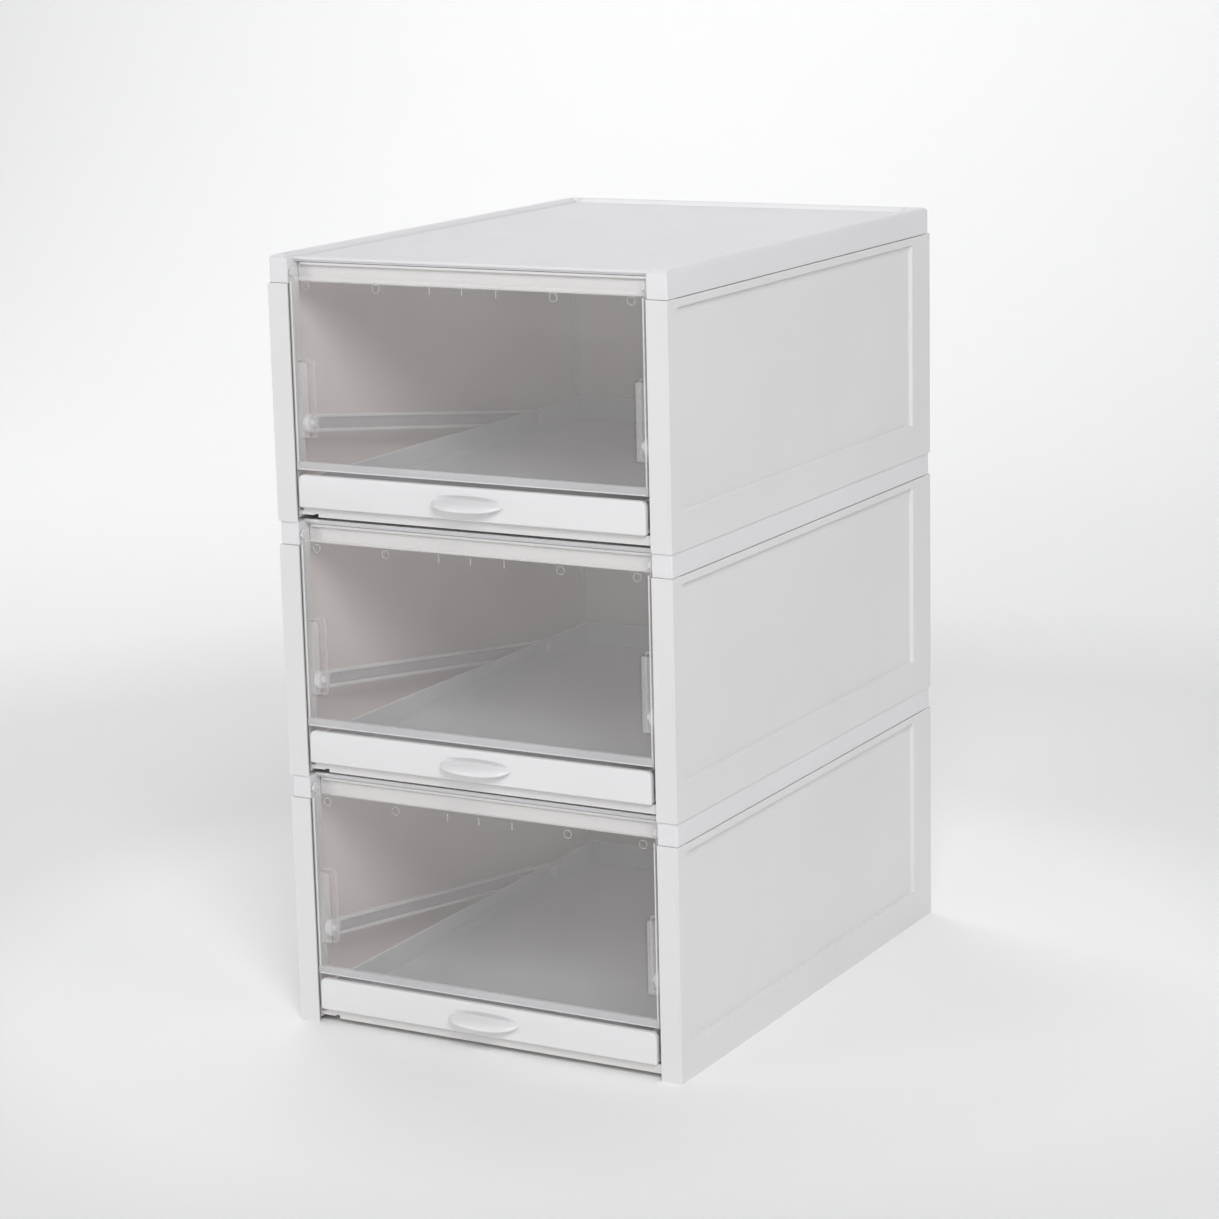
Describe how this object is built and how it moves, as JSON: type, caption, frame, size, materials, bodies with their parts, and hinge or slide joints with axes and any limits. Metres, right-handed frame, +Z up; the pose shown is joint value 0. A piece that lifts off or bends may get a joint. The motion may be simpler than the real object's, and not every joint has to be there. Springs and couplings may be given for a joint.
{
  "type": "stackable drawer shoe box",
  "caption": "Stack of drawer-front shoe boxes; each has a sliding tray whose link arms swing up a clear, top-hinged flap door.",
  "frame": {"origin": "middle of the footprint's bounding box, on the surface that the stack stands on", "axes": "+Z up the stack, -Y out of the fronts, +X to the right of someone facing the fronts"},
  "size_m": [0.24, 0.335, 0.4267],
  "materials": {
    "casing": "warm white moulded polypropylene, satin",
    "tray": "cool pale grey moulded plastic, satin",
    "tray_front": "white moulded plastic, satin",
    "link_arm": "white moulded plastic, slightly glossy",
    "clear_door": "clear, faintly hazy moulded plastic"
  },
  "bodies": {
    "casing_stack": {"base_panel_bottom": "casing", "back_panel_bottom": "casing", "top_cover_bottom": "casing", "front_beam_bottom": "casing", "side_panel_left_bottom": "casing", "side_panel_right_bottom": "casing", "base_panel_middle": "casing", "back_panel_middle": "casing", "top_cover_middle": "casing", "front_beam_middle": "casing", "side_panel_left_middle": "casing", "side_panel_right_middle": "casing", "base_panel_top": "casing", "back_panel_top": "casing", "top_cover_top": "casing", "front_beam_top": "casing", "side_panel_left_top": "casing", "side_panel_right_top": "casing"},
    "tray_bottom_body": {"tray_bottom": "tray", "tray_front_bottom": "tray_front", "arm_pivot_pin_left_bottom": "link_arm", "arm_pivot_pin_right_bottom": "link_arm"},
    "link_arms_bottom": {"link_arm_left_bottom": "link_arm", "link_arm_right_bottom": "link_arm"},
    "flap_door_bottom_body": {"flap_door_bottom": "clear_door"},
    "tray_middle_body": {"tray_middle": "tray", "tray_front_middle": "tray_front", "arm_pivot_pin_left_middle": "link_arm", "arm_pivot_pin_right_middle": "link_arm"},
    "link_arms_middle": {"link_arm_left_middle": "link_arm", "link_arm_right_middle": "link_arm"},
    "flap_door_middle_body": {"flap_door_middle": "clear_door"},
    "tray_top_body": {"tray_top": "tray", "tray_front_top": "tray_front", "arm_pivot_pin_left_top": "link_arm", "arm_pivot_pin_right_top": "link_arm"},
    "link_arms_top": {"link_arm_left_top": "link_arm", "link_arm_right_top": "link_arm"},
    "flap_door_top_body": {"flap_door_top": "clear_door"}
  },
  "joints": [
    {"name": "tray_slide_bottom", "type": "slide", "parent": "casing_stack", "child": "tray_bottom_body", "axis": [0, -1, 0], "range_m": [0, 0.09]},
    {"name": "door_hinge_bottom", "type": "hinge", "parent": "casing_stack", "child": "flap_door_bottom_body", "pos_m": [0, -0.15345, 0.1338], "axis": [-1, 0, 0], "range_deg": [0, 75.2]},
    {"name": "arm_pivot_bottom", "type": "hinge", "parent": "tray_bottom_body", "child": "link_arms_bottom", "pos_m": [0, 0.09, 0.0195], "axis": [-1, 0, 0], "range_deg": [0, 13.45]},
    {"name": "tray_slide_middle", "type": "slide", "parent": "casing_stack", "child": "tray_middle_body", "axis": [0, -1, 0], "range_m": [0, 0.09]},
    {"name": "door_hinge_middle", "type": "hinge", "parent": "casing_stack", "child": "flap_door_middle_body", "pos_m": [0, -0.15345, 0.2753], "axis": [-1, 0, 0], "range_deg": [0, 75.2]},
    {"name": "arm_pivot_middle", "type": "hinge", "parent": "tray_middle_body", "child": "link_arms_middle", "pos_m": [0, 0.09, 0.161], "axis": [-1, 0, 0], "range_deg": [0, 13.45]},
    {"name": "tray_slide_top", "type": "slide", "parent": "casing_stack", "child": "tray_top_body", "axis": [0, -1, 0], "range_m": [0, 0.09]},
    {"name": "door_hinge_top", "type": "hinge", "parent": "casing_stack", "child": "flap_door_top_body", "pos_m": [0, -0.15345, 0.4168], "axis": [-1, 0, 0], "range_deg": [0, 75.2]},
    {"name": "arm_pivot_top", "type": "hinge", "parent": "tray_top_body", "child": "link_arms_top", "pos_m": [0, 0.09, 0.3025], "axis": [-1, 0, 0], "range_deg": [0, 13.45]}
  ],
  "couplings": [
    {"joint": "door_hinge_bottom", "follows": "tray_slide_bottom", "rad_per_m": 14.544},
    {"joint": "arm_pivot_bottom", "follows": "tray_slide_bottom", "rad_per_m": 2.5695},
    {"joint": "door_hinge_middle", "follows": "tray_slide_middle", "rad_per_m": 14.544},
    {"joint": "arm_pivot_middle", "follows": "tray_slide_middle", "rad_per_m": 2.5695},
    {"joint": "door_hinge_top", "follows": "tray_slide_top", "rad_per_m": 14.544},
    {"joint": "arm_pivot_top", "follows": "tray_slide_top", "rad_per_m": 2.5695}
  ]
}
